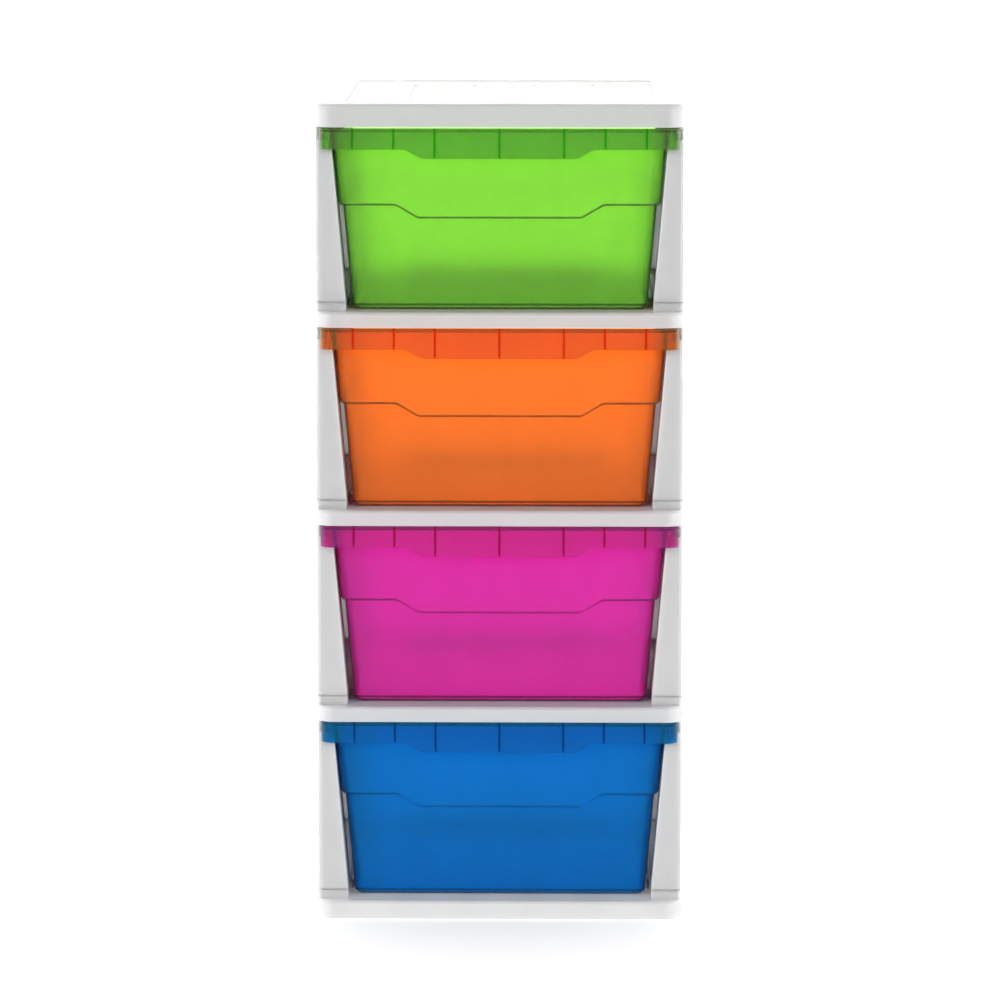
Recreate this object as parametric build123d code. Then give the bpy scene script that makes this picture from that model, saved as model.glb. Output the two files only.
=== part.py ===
"""A free-standing plastic drawer tower with four translucent drawers, in millimetres.

The tower is a stack. A base panel, three decks and a top panel are held apart by four pairs of
side frames, which plug into them. Every drawer hangs by its rim in the channels of one pair of
side frames and pulls out towards the front.

Frame: +Z up, the front looks towards -Y, and the origin is on the floor in the middle of the
footprint. Heights inside a tier are counted from the floor of that tier's deck.
"""

from build123d import *

import os
from math import cos, radians, tan

# ---- The stack ----
width = 370.0  # across the decks
depth = 420.0  # front edge to back edge of the decks
drawer_colours = ("blue", "pink", "orange", "green")  # lowest tier first
tier_clear = 185.0  # a deck's floor up to the lower edge of the deck above it
base_height = 18.0
deck_height = 15.0
top_height = 23.0

# ---- Panels: base, decks and top ----
skin = 2.5  # thickness of plates, skirts and frame walls
corner_radius = 18.0  # panel corners, seen from above
deck_edge = 2.4  # upper edge of the base and the decks
top_edge = 6.0  # upper edge of the top panel, in three flats that follow a round
top_crease = 1.8  # depth of the outer two flats
foot_bevel = 1.2  # lower edge of the base's skirt
rib_thickness = 2.0
rib_recess = 3.0  # the ribs stop this far above the skirt's lower edge
long_rib_places = (31.0, 93.0)  # ribs from front to back, each side of the middle
cross_rib_place = 0.0
field_border = 30.0  # plain rim round the top panel's recessed field
field_depth = 0.8
field_radius = 10.0
sink_width = 2.4  # shallow lines in the field, over the long ribs
sink_depth = 0.35
sink_end = 104.0  # how far back they run
gate_radius = 2.6  # eight-sided moulding mark at the back end of each line
gate_depth = 0.6

# ---- Sills: raised bars on the decks that carry the side frames ----
sill_height = 9.0
sill_corner = 2.0  # cut off the outer upright edges of the sills and the seats
guide_thickness = 3.0  # low wall beside the drawer, on the inside of each sill
guide_start = 47.0  # the guides begin this far behind the sill's front end
guide_gap = 1.2
stop_gap = 1.0  # between the closed drawer's foot and the stop behind it
stop_half_length = 110.0

# ---- Side frames ----
frame_inset = 1.0  # side frames stand this far inside the decks' ends
frame_setback = 15.0  # and this far behind the decks' front edge
column_depth = 50.0
column_foot = 30.8  # width of a column where it meets the deck's floor
side_draft = 5.0  # degrees: columns and drawers narrow alike
column_corner = 3.0  # cut off the outer upright edge
side_field_border = 13.0  # plain rim round the recessed field on a side frame's outside
side_field_depth = 0.8
side_field_corner = 6.0
stiffener_places = (-72.5, 0.0, 72.5)  # upright ribs inside the wall
stiffener_reach = 9.0
tenon_margin = 4.0  # tenons are this much smaller all round than the column
tenon_gap = 0.6  # above the floor that a tenon points at
tenon_clearance = 0.2
tenon_rise = 9.0  # height of the upper tenons
seat_thickness = 2.3  # plate along the top of a frame, which the next deck stands on
seat_reach = 29.0  # its width at the columns
runner_gap = 0.3  # between a drawer's lip and the runner that it slides on
catch_length = 6.0  # bump on the runner that holds the opened drawer
catch_rise = 3.4
catch_width = 4.0
catch_inset = 1.8

# ---- Drawers ----
drawer_travel = 285.0
drawer_lift = 1.0  # between a drawer's foot and the deck
drawer_headroom = 3.0  # between a drawer's rim and the lower edge of the deck above
bin_wall = 2.0
bin_corner = 14.0
bin_foot_bevel = 3.2
end_draft = 2.5  # degrees, front and back walls
side_gap = 1.05  # between a drawer's upper part and the columns
step_side = 4.2  # the upper part stands out this far at the sides
step_end = 3.5  # and this far at the front and the back
step_height = 104.0  # shoulder above the drawer's foot
step_drop = 13.0  # the shoulder dips this far in the middle
step_dip_half = 82.0
step_slope = 22.0
shoulder_bevel = 2.2  # the shoulder's outer edge
bend_radius = 9.0  # soft bends in the shoulder and in the pull's lower edge
apron_inset = 3.0  # behind the decks' front edge
finger_room = 15.6  # behind the pull
apron_height = 19.3
apron_drop = 9.2  # the pull is this much deeper in the middle
apron_dip_half = 78.0
apron_slope = 16.0
apron_clear = 1.5  # the pull's ends stop this far in front of the columns
apron_rise = 1.8  # the pull stands up this far above the rim
rim_gap = 1.0  # between the rim and the side frames
rim_back_gap = 3.1
rim_back_width = 8.0
rim_corner = 14.0
lip_height = 9.7
pull_rib_thickness = 1.7
pull_rib_places = (0.0, 64.5, 105.5, 146.5)
pull_rib_recess = 3.0  # they end this far above the pull's lower edge
stop_web_place = 24.0  # web under the rim that meets the catch, from the rim's back end

# ---- Places that the sizes above give ----
slope = tan(radians(side_draft))
end_slope = tan(radians(end_draft))
tier_pitch = tier_clear + deck_height
front_edge = -depth / 2
frame_outer = width / 2 - frame_inset
frame_end = depth / 2 - frame_setback
frame_length = 2 * frame_end
drawer_height = tier_clear - drawer_lift - drawer_headroom
rim_half = frame_outer - skin - rim_gap
rim_front = front_edge + apron_inset
rim_back = frame_end - skin - rim_back_gap
runner_top = tier_clear - drawer_headroom - lip_height - runner_gap


def column_inner(height):
    """Distance from the middle of the tower to a column's sloping inner face."""
    return frame_outer - column_foot + slope * height


def box_between(x_from, x_to, y_from, y_to, z_from, z_to):
    """A box given by its two limits along each axis."""
    middle = Pos((x_from + x_to) / 2, (y_from + y_to) / 2, (z_from + z_to) / 2)
    return middle * Box(abs(x_to - x_from), abs(y_to - y_from), abs(z_to - z_from))


def prism_along_y(points, y_from, y_to, bends=(), radius=0.0):
    """A solid with a constant section in X and Z. Section corners in bends are rounded."""
    section = make_face(Polyline(*points, close=True))
    if radius:
        corners = [v for v in section.vertices() if any(near(v, b) for b in bends)]
        section = fillet(corners, radius)
    return extrude(Plane.XZ.offset(-y_from) * section, y_to - y_from, dir=(0, 1, 0))


def prism_along_x(points, x_from, x_to):
    """A solid with a constant section in Y and Z."""
    section = make_face(Polyline(*points, close=True))
    return extrude(Plane.YZ.offset(x_from) * section, x_to - x_from)


def near(vertex, point):
    """Whether a section's vertex is the corner that a point names."""
    return (Vector(vertex.X, vertex.Y) - Vector(*point)).length < 0.01


def cornered(x_size, y_size, cut):
    """A rectangle with its four corners cut off."""
    sketch = Rectangle(x_size, y_size)
    return chamfer(sketch.vertices(), cut)


# ---- Panels ----


def panel(height, edge, crease=0.0):
    """A hollow tray, open underneath, with its upper face at height 0.

    Its upper edge is taken off to a depth of edge. A crease turns that flat into three.
    """
    slab = Pos(0, 0, -height) * extrude(RectangleRounded(width, depth, corner_radius), height)
    slab = chamfer(slab.faces().sort_by(Axis.Z)[-1].edges(), edge - crease)
    if crease:
        level = [e for e in slab.edges() if e.bounding_box().size.Z < 0.01]
        slab = chamfer([e for e in level if e.center().Z > -edge], crease)
    inside = cornered(width - 2 * skin, depth - 2 * skin, corner_radius - 2 * skin)
    hollow = extrude(inside, height - skin)
    if edge > skin:
        hollow = chamfer(hollow.faces().sort_by(Axis.Z)[-1].edges(), edge - skin)
    return slab - Pos(0, 0, -height) * hollow + ribs(height)


def ribs(height):
    """The stiffening ribs under a panel, with the walls that the upper tenons stand beside."""
    low, high = rib_recess - height, -skin
    wall_inner = column_inner(sill_height)
    end = depth / 2 - skin
    grid = [
        box_between(x - rib_thickness / 2, x + rib_thickness / 2, -end, end, low, high)
        for place in long_rib_places
        for x in (-place, place)
    ]
    grid.append(
        box_between(
            -wall_inner, wall_inner, cross_rib_place - rib_thickness / 2,
            cross_rib_place + rib_thickness / 2, low, high,
        )
    )
    grid += [
        box_between(side * wall_inner, side * (wall_inner + skin), -end, end, low, high)
        for side in (-1, 1)
    ]
    return grid


def sill(side):
    """The raised bar along one side of a deck, with the drawer guide on its inner face."""
    inner, outer = column_inner(sill_height), frame_outer
    bar = box_between(inner, outer, -frame_end, frame_end, -deck_edge, sill_height)
    bar = chamfer(outer_uprights(bar, outer), sill_corner)
    guide_inner = bin_half(sill_height - drawer_lift, False) + guide_gap
    guide = box_between(
        guide_inner, guide_inner + guide_thickness, guide_start - frame_end, frame_end, -skin, sill_height
    )
    return mirrored(bar + guide, side)


def sill_hollow(side):
    """The space inside a sill, with the pockets that the side frame's lower tenons go into."""
    inner, outer = column_inner(sill_height) + skin, frame_outer - skin
    end = frame_end - skin
    space = [box_between(inner, outer, -end, end, -skin, sill_height - skin)]
    space += [
        tenon(front, 0, sill_height, tenon_clearance) for front in (True, False)
    ]
    return mirrored(Compound(space), side)


def outer_uprights(solid, outer):
    """The upright edges of a solid that lie on the side frames' outer face."""
    uprights = solid.edges().filter_by(Axis.Z)
    return [e for e in uprights if abs(e.center().X - outer) < 0.01]


def mirrored(solid, side):
    """The solid itself for the right side (1), its mirror image for the left side (-1)."""
    return solid if side > 0 else mirror(solid, Plane.YZ)


def tenon(front, z_from, z_to, grown=0.0):
    """The outer block of one right-hand tenon, under or over the front or the back column."""
    inner = column_inner(sill_height) + tenon_margin - grown
    outer = frame_outer - tenon_margin + grown
    near_end = frame_end - tenon_margin + grown
    far_end = frame_end - column_depth + tenon_margin - grown
    y_from, y_to = (-near_end, -far_end) if front else (far_end, near_end)
    return box_between(inner, outer, y_from, y_to, z_from, z_to)


def deck(height):
    """A deck that a drawer slides over, with its floor at height 0."""
    body = panel(height, deck_edge)
    for side in (-1, 1):
        body = body + sill(side) - sill_hollow(side)
    stop_front = bin_back(0, False) + stop_gap
    stop = box_between(
        -stop_half_length, stop_half_length, stop_front, stop_front + skin, -skin / 2, sill_height
    )
    return body + stop


def base_panel():
    """The lowest deck. Its skirt stands on the floor and is rounded at the foot."""
    body = deck(base_height)
    foot = body.faces().sort_by(Axis.Z)[0]
    return chamfer(foot.outer_wire().edges(), foot_bevel)


def top_panel():
    """The lid: a deeper rim, a recessed field, and faint lines where the ribs run under it."""
    body = panel(top_height, top_edge, top_crease)
    field_x, field_y = width - 2 * field_border, depth - 2 * field_border
    body -= Pos(0, 0, -field_depth) * extrude(
        RectangleRounded(field_x, field_y, field_radius), field_depth
    )
    for place in long_rib_places:
        for x in (-place, place):
            body -= box_between(
                x - sink_width / 2, x + sink_width / 2, -field_y / 2 + field_border / 2, sink_end,
                -field_depth - sink_depth, -field_depth,
            )
            gate = Pos(x, sink_end, -field_depth - gate_depth) * RegularPolygon(gate_radius, 8)
            body -= extrude(gate, gate_depth)
    return body


# ---- Side frames ----


def column(front):
    """One right-hand column: a tapering box, open at the back."""
    low, high = sill_height, runner_top
    wall = skin / cos(radians(side_draft))
    y_out = -frame_end if front else frame_end - column_depth
    y_in = y_out + column_depth
    body = prism_along_y(
        [(column_inner(low), low), (frame_outer, low), (frame_outer, high), (column_inner(high), high)],
        y_out, y_in,
    )
    corner = [e for e in outer_uprights(body, frame_outer) if abs(e.center().Y) > frame_end - skin]
    body = chamfer(corner, column_corner)
    floor, roof = low + skin, high - skin
    body -= prism_along_y(
        [
            (column_inner(floor) + wall, floor), (frame_outer - skin, floor),
            (frame_outer - skin, roof), (column_inner(roof) + wall, roof),
        ],
        y_out + skin, y_in,
    )
    return body


def side_wall():
    """The right-hand outer wall between the columns, with its upright ribs."""
    end = frame_end - column_corner
    wall = box_between(frame_outer - skin, frame_outer, -end, end, sill_height, tier_clear)
    for place in stiffener_places:
        wall += box_between(
            frame_outer - stiffener_reach, frame_outer, place - rib_thickness / 2,
            place + rib_thickness / 2, sill_height, runner_top,
        )
    return wall


def side_field():
    """The shallow recess that covers most of a right-hand side frame's outer face."""
    low, high = sill_height + side_field_border, tier_clear - side_field_border
    outline = cornered(frame_length - 2 * side_field_border, high - low, side_field_corner)
    place = Pos(frame_outer - side_field_depth, 0, (low + high) / 2)
    return place * extrude(Plane.YZ * outline, side_field_depth)


def channel():
    """The right-hand runner with its catch, and the seat plate over it."""
    inner = column_inner(runner_top)
    runner = box_between(inner, frame_outer - skin, -frame_end, frame_end, runner_top - skin, runner_top)
    seat_low = tier_clear - seat_thickness
    seat = box_between(inner, frame_outer, -frame_end, frame_end, seat_low, tier_clear)
    seat = chamfer(outer_uprights(seat, frame_outer), sill_corner)
    for y_from in (-frame_end, frame_end - column_depth):
        seat += box_between(
            frame_outer - seat_reach, inner, y_from, y_from + column_depth, seat_low, tier_clear
        )
    end_wall = box_between(inner, frame_outer - skin, frame_end - skin, frame_end, runner_top, seat_low)
    catch_back = stop_web_front() - drawer_travel - runner_gap
    catch_middle = catch_back - catch_length / 2
    catch_low, catch_high = runner_top - skin / 2, runner_top + catch_rise
    profile = make_face(
        Polyline(
            (catch_back - catch_length, catch_low), (catch_back, catch_low), (catch_back, catch_high),
            (catch_middle, catch_high), (catch_back - catch_length, runner_top), close=True,
        )
    )
    catch = extrude(Plane.YZ * profile, catch_width)
    return runner + seat + end_wall + Pos(inner + catch_inset, 0, 0) * catch


def side_frame(side):
    """One side frame with the tenons that plug it into the deck below and the panel above."""
    body = side_wall() + column(True) + column(False) + channel() - side_field()
    foot_rail = box_between(
        frame_outer - stiffener_reach, frame_outer, column_depth - frame_end, frame_end - column_depth,
        sill_height, sill_height + skin,
    )
    body += foot_rail
    for front in (True, False):
        body += hollow_tenon(front, tenon_gap, sill_height, opens_down=True)
        body += hollow_tenon(front, tier_clear, tier_clear + tenon_rise, opens_down=False)
    return mirrored(body, side)


def hollow_tenon(front, z_from, z_to, opens_down):
    """A tenon as a thin-walled box, open at its free end."""
    block = tenon(front, z_from, z_to)
    core = (z_from, z_to - skin) if opens_down else (z_from + skin, z_to)
    return block - tenon(front, *core, grown=-skin)


# ---- Drawers ----


def bin_half(height, upper):
    """Half the outer width of a drawer's lower or upper part, at a height above its foot."""
    half = column_inner(height + drawer_lift) - side_gap
    return half if upper else half - step_side


def bin_front(height, upper):
    """Where the outer face of a drawer's front wall is, at a height above its foot."""
    top = rim_front + bin_wall + finger_room
    return top + end_slope * (drawer_height - height) + (0 if upper else step_end)


def bin_back(height, upper):
    """Where the outer face of a drawer's back wall is, at a height above its foot."""
    top = rim_back - rim_back_width
    return top - end_slope * (drawer_height - height) - (0 if upper else step_end)


def bin_block(z_from, z_to, upper, inset):
    """The drafted block that fills a drawer's lower or upper part, or its hollow with an inset."""
    levels = (z_from, z_to)
    half = [bin_half(z, upper) - inset for z in levels]
    front = [bin_front(z, upper) + inset for z in levels]
    back = [bin_back(z, upper) - inset for z in levels]
    across = [(-half[0], z_from), (half[0], z_from), (half[1], z_to), (-half[1], z_to)]
    along = [(front[0], z_from), (back[0], z_from), (back[1], z_to), (front[1], z_to)]
    block = prism_along_y(across, -depth, depth) & prism_along_x(along, -width, width)
    uprights = [e for e in block.edges() if abs(e.tangent_at(0.5).Z) > 0.5]
    return fillet(uprights, bin_corner - inset - (0 if upper else step_end))


def above_dipped_line(height, drop, dip_half, run, y_from, y_to, radius):
    """Everything above a line across the front that dips in the middle, its bends rounded."""
    outer, top = width, 2 * drawer_height
    bends = [
        (-dip_half - run, height), (-dip_half, height - drop),
        (dip_half, height - drop), (dip_half + run, height),
    ]
    return prism_along_y(
        [(-outer, height), *bends, (outer, height), (outer, top), (-outer, top)],
        y_from, y_to, bends, radius,
    )


def shell_of_bin():
    """The drawer's bin: two tapering parts that meet in a shoulder, open at the top."""
    low = step_height - step_drop

    def shoulder(rise, radius):
        line = (step_height + rise, step_drop, step_dip_half, step_slope)
        return above_dipped_line(*line, -depth, depth, radius)

    foot = bin_block(0, step_height, False, 0)
    foot = chamfer(foot.faces().sort_by(Axis.Z)[0].edges(), bin_foot_bevel)
    upper = bin_block(low, drawer_height, True, 0) & shoulder(0, bend_radius)
    outside = foot + chamfer(under_edges(upper), shoulder_bevel)
    cavity = bin_block(bin_wall, step_height + bin_wall, False, bin_wall)
    cavity = chamfer(cavity.faces().sort_by(Axis.Z)[0].edges(), bin_foot_bevel)
    cavity += bin_block(low, drawer_height, True, bin_wall) & shoulder(bin_wall, 0)
    return outside - cavity


def under_edges(solid):
    """The outline of a solid's underside, where its faces that look down meet its walls."""
    edges = [e for face in solid.faces() if face.normal_at().Z < -0.5 for e in face.edges()]
    middles = [edge.center() for edge in edges]
    return [e for e, m in zip(edges, middles) if sum((m - n).length < 0.01 for n in middles) == 1]


def rim():
    """The rim round the bin: a flat flange, a lip that slides on the runners, and the pull."""
    x, y = 2 * rim_half, rim_back - rim_front
    low = drawer_height - apron_height - apron_drop
    foot = Pos(0, (rim_front + rim_back) / 2, low)
    tall = extrude(foot * RectangleRounded(x, y, rim_corner), drawer_height + apron_rise - low)
    inside = cornered(x - 2 * bin_wall, y - 2 * bin_wall, rim_corner - 2 * bin_wall)
    tall -= extrude(foot * inside, drawer_height - low - bin_wall)
    tall -= Pos(0, 0, drawer_height - low) * extrude(foot * inside, apron_rise)
    tall -= bin_block(step_height, drawer_height, True, bin_wall)
    pull_end = -frame_end - apron_clear
    pull = tall & above_dipped_line(
        drawer_height - apron_height, apron_drop, apron_dip_half, apron_slope, -depth, pull_end,
        bend_radius,
    )
    lip_low = drawer_height - lip_height
    return pull + (tall & box_between(-width, width, pull_end, depth, lip_low, drawer_height))


def stop_web_front():
    """Where the front face of the web that meets the catch is, with the drawer closed."""
    return rim_back - stop_web_place - bin_wall


def drawer():
    """One drawer with its foot at height 0 and closed."""
    body = shell_of_bin() + rim()
    for place in pull_rib_places:
        deep = apron_drop if place < apron_dip_half else 0
        low = drawer_height - apron_height - deep + pull_rib_recess
        for x in {-place, place}:
            body += box_between(
                x - pull_rib_thickness / 2, x + pull_rib_thickness / 2,
                rim_front + bin_wall / 2, bin_front(low, True) + bin_wall / 2,
                low, drawer_height - bin_wall / 2,
            )
    web_front, web_low = stop_web_front(), drawer_height - lip_height + runner_gap
    for side in (-1, 1):
        body += box_between(
            side * (bin_half(drawer_height, True) - bin_wall), side * (rim_half - bin_wall / 2),
            web_front, web_front + bin_wall, web_low, drawer_height - bin_wall / 2,
        )
    return body


# ---- The tower ----


def tower():
    """Every sub-part in its place, by name."""
    base_floor = base_height
    floors = [base_floor + n * tier_pitch for n in range(len(drawer_colours))]
    parts = {"base_panel": Pos(0, 0, floors[0]) * base_panel()}
    shelf, box = deck(deck_height), drawer()
    frames = {"left": side_frame(-1), "right": side_frame(1)}
    for level, (floor, colour) in enumerate(zip(floors, drawer_colours), start=1):
        if level > 1:
            parts[f"deck_{level}"] = Pos(0, 0, floor) * shelf
        for name, frame in frames.items():
            parts[f"side_frame_{name}_{level}"] = Pos(0, 0, floor) * frame
        parts[f"drawer_{level}_{colour}"] = Pos(0, 0, floor + drawer_lift) * box
    parts["top_panel"] = Pos(0, 0, floors[-1] + tier_clear + top_height) * top_panel()
    return parts


os.makedirs("parts", exist_ok=True)
for node, solid in tower().items():
    export_step(solid, f"parts/{node}.step")
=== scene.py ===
"""The look of a free-standing plastic drawer tower, dressed over its fixed frame.

White satin decks and side frames carry four translucent drawers in green, orange, pink and
blue. Lengths are in metres, +Z is up and the drawers pull out towards -Y.
"""

import logging
from collections.abc import Iterable
from dataclasses import dataclass, field
from enum import Enum
from math import cos, exp, radians, sin

import bmesh
import bpy
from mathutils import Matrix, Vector

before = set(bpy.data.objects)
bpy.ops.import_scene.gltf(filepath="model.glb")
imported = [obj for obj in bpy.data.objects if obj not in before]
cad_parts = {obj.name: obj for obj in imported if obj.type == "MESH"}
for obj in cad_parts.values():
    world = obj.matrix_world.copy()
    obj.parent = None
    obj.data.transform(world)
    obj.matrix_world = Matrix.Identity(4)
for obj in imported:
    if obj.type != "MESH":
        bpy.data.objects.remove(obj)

LOG = logging.getLogger("drawer_tower")
PLASTIC_IOR = 1.49

Colour = tuple[float, float, float]
Place = tuple[float, float, float]


@dataclass(frozen=True)
class Dye:
    """A plastic's dye: the tint of its surface and how fast each colour fades inside it.

    Attributes:
        surface: Linear colour of the light that the surface sends back and lets through.
        fading: Share of red, green and blue light lost in each millimetre of plastic.
    """

    surface: Colour
    fading: Colour


class Tint(Enum):
    """The dyes of the four drawers."""

    GREEN = Dye((0.61, 0.74, 0.36), (0.28, 0.05, 0.60))
    ORANGE = Dye((1.00, 0.68, 0.24), (0.02, 0.34, 0.80))
    PINK = Dye((0.99, 0.24, 0.97), (0.04, 0.70, 0.24))
    BLUE = Dye((0.05, 0.59, 0.95), (0.80, 0.25, 0.08))


def add_node(tree: bpy.types.NodeTree, kind: str, **settings: object) -> bpy.types.Node:
    """Adds a node to a node tree.

    Args:
        tree: The material's or the world's node tree.
        kind: The node's type name.
        settings: Properties of the node, or sockets by name with their spaces as underscores.

    Returns:
        The new node.
    """
    node = tree.nodes.new(kind)
    for name, value in settings.items():
        if hasattr(node, name):
            setattr(node, name, value)
        else:
            node.inputs[name.replace("_", " ")].default_value = value
    return node


def colours(sockets: Iterable[bpy.types.NodeSocket]) -> list[bpy.types.NodeSocket]:
    """The colour sockets among a node's inputs or outputs."""
    return [socket for socket in sockets if socket.type == "RGBA"]


def add_gloss(
    tree: bpy.types.NodeTree, clouds: bpy.types.Node, shader: bpy.types.Node, low: float,
    high: float,
) -> None:
    """Lets a cloudy pattern vary a surface's roughness.

    Args:
        tree: The material's node tree.
        clouds: The noise that the roughness follows.
        shader: The surface's shader.
        low: Roughness where the noise is 0.
        high: Roughness where the noise is 1.
    """
    gloss = add_node(tree, "ShaderNodeMapRange", To_Min=low, To_Max=high)
    tree.links.new(clouds.outputs["Fac"], gloss.inputs["Value"])
    tree.links.new(gloss.outputs["Result"], shader.inputs["Roughness"])


def empty_material(name: str) -> tuple[bpy.types.Material, bpy.types.NodeTree]:
    """Makes a material with an empty node tree.

    Args:
        name: The material's name.

    Returns:
        The material and its node tree.
    """
    material = bpy.data.materials.new(name)
    material.use_nodes = True
    material.node_tree.nodes.clear()
    return material, material.node_tree


@dataclass(frozen=True)
class Grain:
    """The fine grain that a mould leaves on plastic."""

    scale: float
    height: float
    strength: float
    detail: float = 2.0

    def build(
        self, tree: bpy.types.NodeTree, place: bpy.types.Node, shader: bpy.types.Node
    ) -> None:
        """Roughens a surface with the grain.

        Args:
            tree: The material's node tree.
            place: The node that gives Object coordinates.
            shader: The surface's shader.
        """
        link = tree.links.new
        noise = add_node(tree, "ShaderNodeTexNoise", Scale=self.scale, Detail=self.detail)
        link(place.outputs["Object"], noise.inputs["Vector"])
        bump = add_node(tree, "ShaderNodeBump", Strength=self.strength, Distance=self.height)
        link(noise.outputs["Fac"], bump.inputs["Height"])
        link(bump.outputs["Normal"], shader.inputs["Normal"])


def dress(node: str, material: bpy.types.Material) -> None:
    """Gives a CAD node one material in place of its own.

    Args:
        node: The CAD node's name.
        material: The finish that covers all of it.
    """
    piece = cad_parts[node]
    piece.data.materials.clear()
    piece.data.materials.append(material)


@dataclass(frozen=True)
class WhitePlastic:
    """Satin white moulded plastic with a fine grain and slightly uneven gloss."""

    name: str = "white_plastic"
    colour: Colour = (0.80, 0.803, 0.806)
    shade: Colour = (0.77, 0.774, 0.778)
    roughness_low: float = 0.36
    roughness_high: float = 0.46
    cloud_scale: float = 9.0
    cloud_detail: float = 4.0
    grain: Grain = Grain(scale=1400.0, height=0.00004, strength=0.25)
    milkiness: float = 1.0
    milky_depth: float = 0.012
    milky_reach: Colour = (1.0, 1.0, 1.0)

    def build(self) -> bpy.types.Material:
        """Makes the finish.

        Returns:
            The material.
        """
        material, tree = empty_material(self.name)
        link = tree.links.new
        place = add_node(tree, "ShaderNodeTexCoord")
        clouds = add_node(
            tree, "ShaderNodeTexNoise", Scale=self.cloud_scale, Detail=self.cloud_detail
        )
        link(place.outputs["Object"], clouds.inputs["Vector"])
        tone = add_node(tree, "ShaderNodeMix", data_type="RGBA")
        darker, lighter = colours(tone.inputs)
        darker.default_value = (*self.shade, 1.0)
        lighter.default_value = (*self.colour, 1.0)
        link(clouds.outputs["Fac"], tone.inputs["Factor"])
        shader = add_node(
            tree, "ShaderNodeBsdfPrincipled", IOR=PLASTIC_IOR, Subsurface_Weight=self.milkiness,
            Subsurface_Scale=self.milky_depth,
        )
        shader.inputs["Subsurface Radius"].default_value = self.milky_reach
        link(colours(tone.outputs)[0], shader.inputs["Base Color"])
        add_gloss(tree, clouds, shader, self.roughness_low, self.roughness_high)
        self.grain.build(tree, place, shader)
        output = add_node(tree, "ShaderNodeOutputMaterial")
        link(shader.outputs["BSDF"], output.inputs["Surface"])
        return material


@dataclass(frozen=True)
class PaintedRibShade:
    """Painted shade along the ribs behind a drawer's pull: darker lines in the pull's colour.

    Attributes:
        places: Distances of the ribs from the drawer's middle, each on both sides.
        half_width: Half the width of a line.
        hindmost: The lines are only in front of this, on the pull and its ribs.
        painted_shade_depth: Millimetres of dye whose fading sets the painted shade along a rib.
    """

    places: tuple[float, ...] = (0.0, 0.0645, 0.1055, 0.1465)
    half_width: float = 0.001
    hindmost: float = -0.192
    painted_shade_depth: float = 5.0

    def colour(self, dye: Dye) -> Colour:
        """The painted shade colour along a rib: the dye darkened over painted_shade_depth
        millimetres.

        Args:
            dye: The drawer's dye.

        Returns:
            The linear colour.
        """
        pairs = zip(dye.surface, dye.fading)
        return tuple(light * exp(-share * self.painted_shade_depth) for light, share in pairs)

    def mask(self, tree: bpy.types.NodeTree, place: bpy.types.Node) -> bpy.types.NodeSocket:
        """Marks the lines of painted shade where the ribs meet the pull.

        Args:
            tree: The material's node tree.
            place: The node that gives Object coordinates.

        Returns:
            The output that is 1 on the lines and 0 elsewhere.
        """
        link = tree.links.new
        parts = add_node(tree, "ShaderNodeSeparateXYZ")
        link(place.outputs["Object"], parts.inputs["Vector"])
        aside = add_node(tree, "ShaderNodeMath", operation="ABSOLUTE")
        link(parts.outputs["X"], aside.inputs[0])
        front = add_node(tree, "ShaderNodeMath", operation="LESS_THAN")
        front.inputs[1].default_value = self.hindmost
        link(parts.outputs["Y"], front.inputs[0])
        lines = add_node(tree, "ShaderNodeMath", operation="MULTIPLY")
        link(front.outputs["Value"], lines.inputs[0])
        total = None
        for middle in self.places:
            line = add_node(tree, "ShaderNodeMath", operation="COMPARE")
            line.inputs[1].default_value = middle
            line.inputs[2].default_value = self.half_width
            link(aside.outputs["Value"], line.inputs[0])
            if total is None:
                total = line
                continue
            either = add_node(tree, "ShaderNodeMath", operation="MAXIMUM")
            link(total.outputs["Value"], either.inputs[0])
            link(line.outputs["Value"], either.inputs[1])
            total = either
        link(total.outputs["Value"], lines.inputs[1])
        return lines.outputs["Value"]


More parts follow.
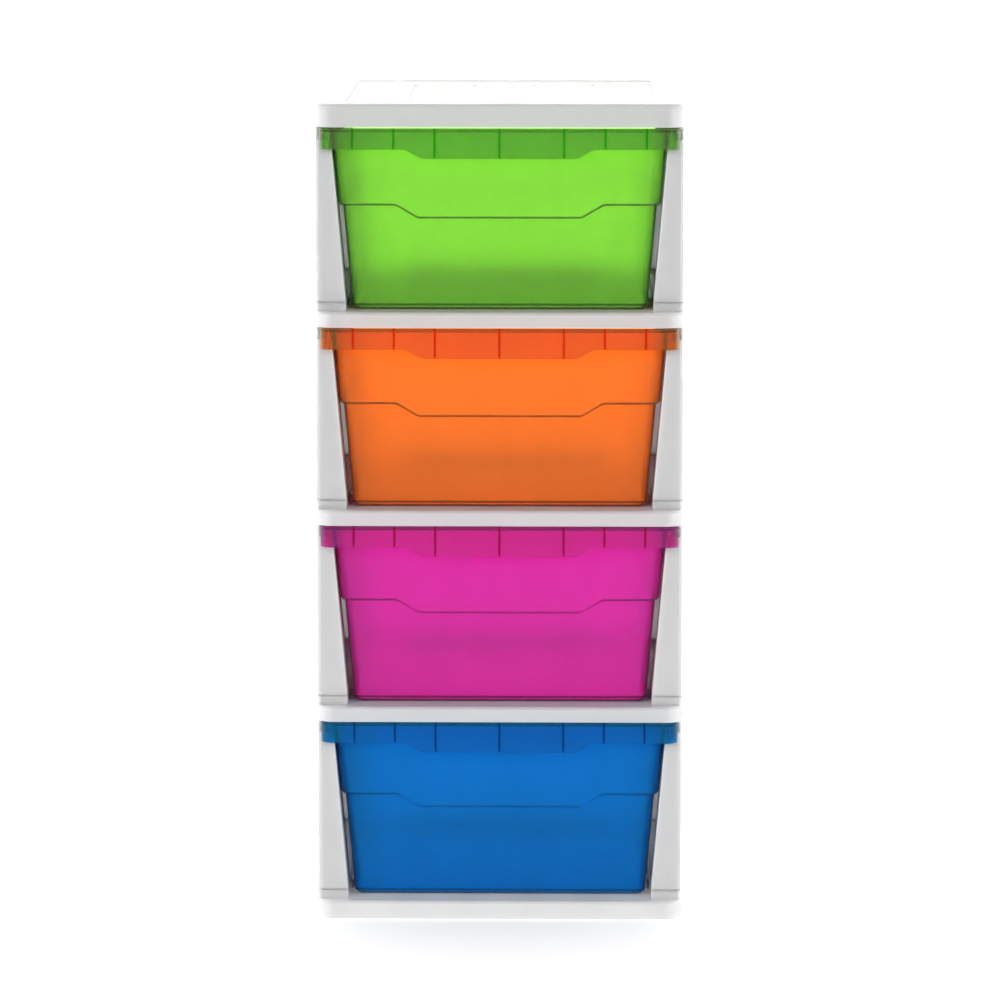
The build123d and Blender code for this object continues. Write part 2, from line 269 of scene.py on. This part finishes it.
@dataclass(frozen=True)
class TintedPlastic:
    """Dyed plastic that light passes through, with a satin gloss and faint upright streaks."""

    tint: Tint
    transmission: float = 0.91
    millimetres: float = 1000.0  # in a metre: the dye fades light by the millimetre
    roughness_low: float = 0.2
    roughness_high: float = 0.26
    cloud_scale: float = 6.0
    pattern_detail: float = 3.0
    streak_scale: Place = (55.0, 55.0, 6.0)
    streak_shade: float = 0.9
    grain: Grain = Grain(scale=1100.0, height=0.00003, strength=0.15)
    # painted shade: darker lines along the ribs behind the pull
    ribs: PaintedRibShade = PaintedRibShade()

    @property
    def name(self) -> str:
        """The material's name."""
        return f"{self.tint.name.lower()}_tinted_plastic"

    def build(self) -> bpy.types.Material:
        """Makes the finish.

        Returns:
            The material.
        """
        material, tree = empty_material(self.name)
        link = tree.links.new
        place = add_node(tree, "ShaderNodeTexCoord")
        clouds = add_node(
            tree, "ShaderNodeTexNoise", Scale=self.cloud_scale, Detail=self.pattern_detail
        )
        link(place.outputs["Object"], clouds.inputs["Vector"])
        shader = add_node(
            tree, "ShaderNodeBsdfPrincipled", IOR=PLASTIC_IOR,
            Transmission_Weight=self.transmission,
        )
        shader.inputs["Specular Tint"].default_value = (*self.tint.value.surface, 1.0)
        link(self.colour(tree, place), shader.inputs["Base Color"])
        add_gloss(tree, clouds, shader, self.roughness_low, self.roughness_high)
        self.grain.build(tree, place, shader)
        depth = add_node(tree, "ShaderNodeVolumeAbsorption", Density=self.millimetres)
        kept = tuple(1.0 - share for share in self.tint.value.fading)
        depth.inputs["Color"].default_value = (*kept, 1.0)
        output = add_node(tree, "ShaderNodeOutputMaterial")
        link(shader.outputs["BSDF"], output.inputs["Surface"])
        link(depth.outputs["Volume"], output.inputs["Volume"])
        return material

    def colour(self, tree: bpy.types.NodeTree, place: bpy.types.Node) -> bpy.types.NodeSocket:
        """Mixes the dye with faint upright streaks and with painted shade on the lines of the
        ribs.

        Args:
            tree: The material's node tree.
            place: The node that gives Object coordinates.

        Returns:
            The colour output.
        """
        link = tree.links.new
        dye = self.tint.value
        streak = tuple(share * self.streak_shade for share in dye.surface)
        stretch = add_node(tree, "ShaderNodeMapping")
        stretch.inputs["Scale"].default_value = self.streak_scale
        link(place.outputs["Object"], stretch.inputs["Vector"])
        noise = add_node(tree, "ShaderNodeTexNoise", Scale=1.0, Detail=self.pattern_detail)
        link(stretch.outputs["Vector"], noise.inputs["Vector"])
        streaked = add_node(tree, "ShaderNodeMix", data_type="RGBA")
        plain, darker = colours(streaked.inputs)
        plain.default_value = (*dye.surface, 1.0)
        darker.default_value = (*streak, 1.0)
        link(noise.outputs["Fac"], streaked.inputs["Factor"])
        # Painted shade: the dye darkened on the lines where the ribs meet the pull.
        rib_shaded = add_node(tree, "ShaderNodeMix", data_type="RGBA")
        between, along = colours(rib_shaded.inputs)
        link(colours(streaked.outputs)[0], between)
        along.default_value = (*self.ribs.colour(dye), 1.0)
        link(self.ribs.mask(tree, place), rib_shaded.inputs["Factor"])
        return colours(rib_shaded.outputs)[0]


@dataclass
class Carcass:
    """The white pieces: base panel, decks, side frames and top panel."""

    finish: WhitePlastic = field(default_factory=WhitePlastic)

    def nodes(self) -> list[str]:
        """The CAD nodes of the tower's fixed body."""
        return [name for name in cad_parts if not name.startswith("drawer_")]

    def build(self) -> list[str]:
        """Dresses the fixed pieces.

        Returns:
            The names of the dressed pieces.
        """
        material = self.finish.build()
        names = self.nodes()
        for name in names:
            dress(name, material)
        return names


@dataclass
class Drawer:
    """One translucent drawer."""

    tint: Tint

    @property
    def node(self) -> str:
        """The CAD node of the drawer with this dye."""
        ending = self.tint.name.lower()
        return next(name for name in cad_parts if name.endswith(ending))

    def build(self) -> list[str]:
        """Dresses the drawer.

        Returns:
            The names of the dressed pieces.
        """
        dress(self.node, TintedPlastic(self.tint).build())
        return [self.node]


@dataclass(frozen=True)
class Softbox:
    """A large square studio light."""

    name: str
    place: Place
    power: float
    target: Place = (0.0, 0.0, 0.4)
    side: float = 2.4

    def build(self) -> None:
        """Hangs the light and turns it to its target."""
        data = bpy.data.lights.new(self.name, "AREA")
        data.shape = "SQUARE"
        data.size = self.side
        data.energy = self.power
        lamp = bpy.data.objects.new(self.name, data)
        lamp.location = self.place
        aim = Vector(self.target) - Vector(self.place)
        lamp.rotation_euler = aim.to_track_quat("-Z", "Y").to_euler()
        bpy.context.scene.collection.objects.link(lamp)


@dataclass(frozen=True)
class Viewpoint:
    """The camera of the reference view: far off, a little above the top panel.

    Attributes:
        distance: From the tower's middle, level with the floor.
        azimuth: Degrees to the right of straight ahead.
        height: Above the floor.
        aim_height: Height of the point that the camera looks at.
        aim_side: How far right of the middle that point is.
        focal_pixels: Focal length in pixels of the picture.
        picture_pixels: Width of the picture.
        sensor: Width of the sensor in millimetres.
        sight: How far the camera sees.
    """

    distance: float = 5.2
    azimuth: float = 0.877
    height: float = 1.1517
    aim_height: float = 0.3993
    aim_side: float = -0.0026
    focal_pixels: float = 5029.0
    picture_pixels: float = 1000.0
    sensor: float = 36.0
    sight: float = 200.0

    def build(self) -> None:
        """Sets up the camera."""
        data = bpy.data.cameras.new("camera")
        data.sensor_width = self.sensor
        data.sensor_fit = "HORIZONTAL"
        data.lens = self.focal_pixels * self.sensor / self.picture_pixels
        data.clip_end = self.sight
        camera = bpy.data.objects.new("camera", data)
        turn = radians(self.azimuth)
        place = Vector((self.distance * sin(turn), -self.distance * cos(turn), self.height))
        camera.location = place
        aim = Vector((self.aim_side, 0.0, self.aim_height)) - place
        camera.rotation_euler = aim.to_track_quat("-Z", "Y").to_euler()
        bpy.context.scene.collection.objects.link(camera)
        bpy.context.scene.camera = camera


@dataclass
class Studio:
    """A pale floor in an even white studio.

    Attributes:
        floor_radius: The floor is round.
        floor_sides: Number of its edges.
        floor_middle: The floor reaches further behind the tower than before it.
        floor_colour: Linear colour of the floor.
        floor_roughness: The floor is matt.
        floor_glow: Light that the floor gives by itself, so that it stays even and pale.
        sky_colour: Linear colour of the light from all round.
        sky_front: Its strength from before the tower.
        sky_back: Its strength from behind the tower.
        sky_top: Share of it that is left straight overhead.
        sky_turn: Where it turns from front to back, as parts of a level look.
        sky_fall: Where it falls to sky_top, as parts of an upright look.
        lights: The two lights before the tower.
    """

    floor_radius: float = 3.2
    floor_sides: int = 96
    floor_middle: Place = (0.0, 1.2, 0.0)
    floor_colour: Colour = (0.88, 0.88, 0.88)
    floor_roughness: float = 0.9
    floor_glow: float = 0.34
    sky_colour: Colour = (1.0, 1.0, 1.0)
    sky_front: float = 0.16
    sky_back: float = 3.05
    sky_top: float = 0.11
    sky_turn: tuple[float, float] = (-0.4, 0.2)
    sky_fall: tuple[float, float] = (0.1, 0.9)
    lights: list[Softbox] = field(
        default_factory=lambda: [
            Softbox("left_light", (-2.8, -3.6, 2.2), 111.0),
            Softbox("right_light", (3.0, -3.4, 2.0), 82.0),
        ]
    )

    def build(self) -> None:
        """Builds the floor, the sky, the lights and the camera."""
        self.build_floor()
        self.build_sky()
        for light in self.lights:
            light.build()
        Viewpoint().build()
        view = bpy.context.scene.view_settings
        view.view_transform = "Standard"
        view.look = "None"

    def build_floor(self) -> None:
        """Lays a large round floor under the tower."""
        material, tree = empty_material("studio_floor")
        shader = add_node(
            tree, "ShaderNodeBsdfPrincipled", Roughness=self.floor_roughness,
            Emission_Strength=self.floor_glow,
        )
        shader.inputs["Base Color"].default_value = (*self.floor_colour, 1.0)
        output = add_node(tree, "ShaderNodeOutputMaterial")
        tree.links.new(shader.outputs["BSDF"], output.inputs["Surface"])
        mesh = bpy.data.meshes.new("studio_floor")
        shape = bmesh.new()
        bmesh.ops.create_circle(
            shape, cap_ends=True, radius=self.floor_radius, segments=self.floor_sides
        )
        shape.to_mesh(mesh)
        shape.free()
        mesh.materials.append(material)
        floor = bpy.data.objects.new("studio_floor", mesh)
        floor.location = self.floor_middle
        bpy.context.scene.collection.objects.link(floor)

    def build_sky(self) -> None:
        """Surrounds the scene with white light, bright behind the tower and dim before it."""
        world = bpy.data.worlds.new("studio_sky")
        world.use_nodes = True
        tree = world.node_tree
        link = tree.links.new
        background = tree.nodes["Background"]
        background.inputs["Color"].default_value = (*self.sky_colour, 1.0)
        look = add_node(tree, "ShaderNodeTexCoord")
        parts = add_node(tree, "ShaderNodeSeparateXYZ")
        link(look.outputs["Generated"], parts.inputs["Vector"])
        strength = add_node(tree, "ShaderNodeMath", operation="MULTIPLY")
        ramps = (
            ("Y", self.sky_turn, (self.sky_front, self.sky_back)),
            ("Z", self.sky_fall, (1.0, self.sky_top)),
        )
        for factor, (axis, reach, values) in zip(strength.inputs, ramps):
            ramp = add_node(
                tree, "ShaderNodeMapRange", interpolation_type="SMOOTHSTEP", From_Min=reach[0],
                From_Max=reach[1], To_Min=values[0], To_Max=values[1],
            )
            link(parts.outputs[axis], ramp.inputs["Value"])
            link(ramp.outputs["Result"], factor)
        link(strength.outputs["Value"], background.inputs["Strength"])
        bpy.context.scene.world = world


def main() -> None:
    """Dresses the tower piece by piece and builds the studio round it."""
    logging.basicConfig(level=logging.INFO, format="%(message)s")
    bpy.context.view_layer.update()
    assemblies = [Carcass(), *(Drawer(tint) for tint in Tint)]
    for assembly in assemblies:
        for name in assembly.build():
            LOG.info("dressed %s", name)
    Studio().build()


if __name__ == "__main__":
    main()
